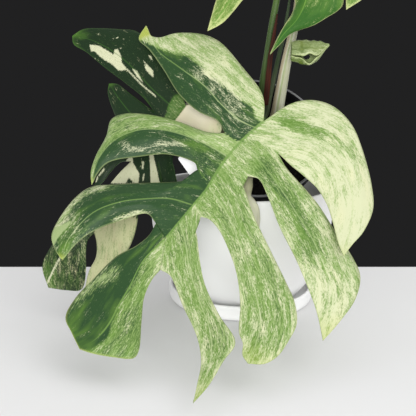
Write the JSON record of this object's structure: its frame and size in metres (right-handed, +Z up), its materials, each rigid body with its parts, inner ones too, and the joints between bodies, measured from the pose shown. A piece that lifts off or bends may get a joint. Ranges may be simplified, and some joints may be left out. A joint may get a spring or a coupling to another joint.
{
  "type": "potted_split_leaf_plant",
  "caption": "Split-leaf climbing plant with green and cream variegated blades in a tipped black nursery pot inside a round-bottomed white ceramic pot on a saucer",
  "frame": {"origin": "centre of the saucer's underside, on the table", "axes": "+Z up, the plant's front faces -Y, +X is to the viewer's right; millimetres in the source"},
  "size_m": [0.2979, 0.2908, 0.3882],
  "materials": {
    "saucer_ceramic": "white satin glaze",
    "pot_ceramic": "white satin glaze",
    "nursery_plastic": "black thin moulded plastic with a soft sheen",
    "soil_mix": "dark loose potting soil",
    "label_plastic": "plain white card",
    "cream_stem": "smooth cream plant skin",
    "green_stem": "smooth green plant skin",
    "root_skin": "dull beige root skin",
    "dry_sheath": "dry red-brown sheath",
    "front_blade": "satin leaf, green streaked with cream",
    "left_blade": "satin leaf, dark green half and cream half",
    "top_blade": "satin leaf, green with fine cream flecks",
    "new_blade": "soft pale green young leaf"
  },
  "bodies": {
    "root": {"saucer": "saucer_ceramic", "outer_pot": "pot_ceramic", "nursery_pot": "nursery_plastic", "soil": "soil_mix", "plant_label": "label_plastic", "main_stem": "cream_stem", "stem_sheath": "green_stem", "petiole_top": "green_stem", "petiole_front": "green_stem", "petiole_left": "cream_stem", "aerial_root": "root_skin", "dried_sheath": "dry_sheath", "leaf_front": "front_blade", "leaf_left": "left_blade", "leaf_top": "top_blade", "leaf_new": "new_blade"}
  },
  "joints": []
}
